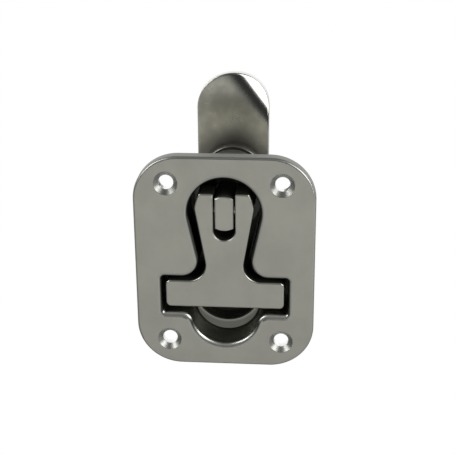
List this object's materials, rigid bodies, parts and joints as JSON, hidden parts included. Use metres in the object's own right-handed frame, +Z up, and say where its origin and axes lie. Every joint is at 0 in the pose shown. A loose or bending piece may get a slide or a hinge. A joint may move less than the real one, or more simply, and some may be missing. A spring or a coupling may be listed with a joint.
{
  "type": "compression latch",
  "caption": "Flush lift-and-turn compression latch: rounded faceplate with a keyhole recess, T-handle, sprung spindle and rear cam.",
  "frame": {"origin": "centre of the four screw holes on the mounting face behind the faceplate", "axes": "+Z up from the handle's bar towards the cam's tip, +Y from the faceplate into the door, +X across the plate to the right seen from the front"},
  "size_m": [0.06, 0.0541, 0.0927],
  "materials": {
    "cast_stainless": "satin polished casting",
    "machined_stainless": "turned and milled",
    "polished_sheet": "polished sheet",
    "bright_fixings": "bright",
    "spring_steel": "drawn wire",
    "bush_polymer": "matte acetal",
    "nylon": "matte nylon",
    "seal_rubber": "matte rubber"
  },
  "bodies": {
    "housing_body": {"housing": "cast_stainless", "thrust_washer": "bright_fixings", "spindle_o_ring": "seal_rubber", "front_bush": "bush_polymer", "return_spring": "spring_steel", "barrel_gland": "machined_stainless", "rear_bush": "bush_polymer", "stop_pin": "bright_fixings"},
    "spindle_slide": {"spindle_head": "machined_stainless"},
    "handle": {"t_handle": "cast_stainless", "pivot_pin": "bright_fixings"},
    "cam_assembly": {"spindle_shaft": "machined_stainless", "spring_seat": "bright_fixings", "spring_circlip": "spring_steel", "stop_washer": "bright_fixings", "jam_nut": "bright_fixings", "front_cam_washer": "bright_fixings", "cam": "polished_sheet", "rear_cam_washer": "bright_fixings", "lock_washer": "spring_steel", "lock_nut": "bright_fixings", "nylon_insert": "nylon"}
  },
  "joints": [
    {"name": "compression_stroke", "type": "slide", "parent": "housing_body", "child": "spindle_slide", "axis": [0, 1, 0], "range_m": [0, 0.003]},
    {"name": "handle_lift", "type": "hinge", "parent": "spindle_slide", "child": "handle", "pos_m": [0, 0.001, 0.018], "axis": [-1, 0, 0], "range_deg": [0, 90]},
    {"name": "cam_turn", "type": "hinge", "parent": "spindle_slide", "child": "cam_assembly", "pos_m": [0, 0.0359, 0.018], "axis": [0, -1, 0], "range_deg": [0, 90]}
  ],
  "couplings": [
    {"joint": "handle_lift", "follows": "compression_stroke", "rad_per_m": 523.6}
  ]
}
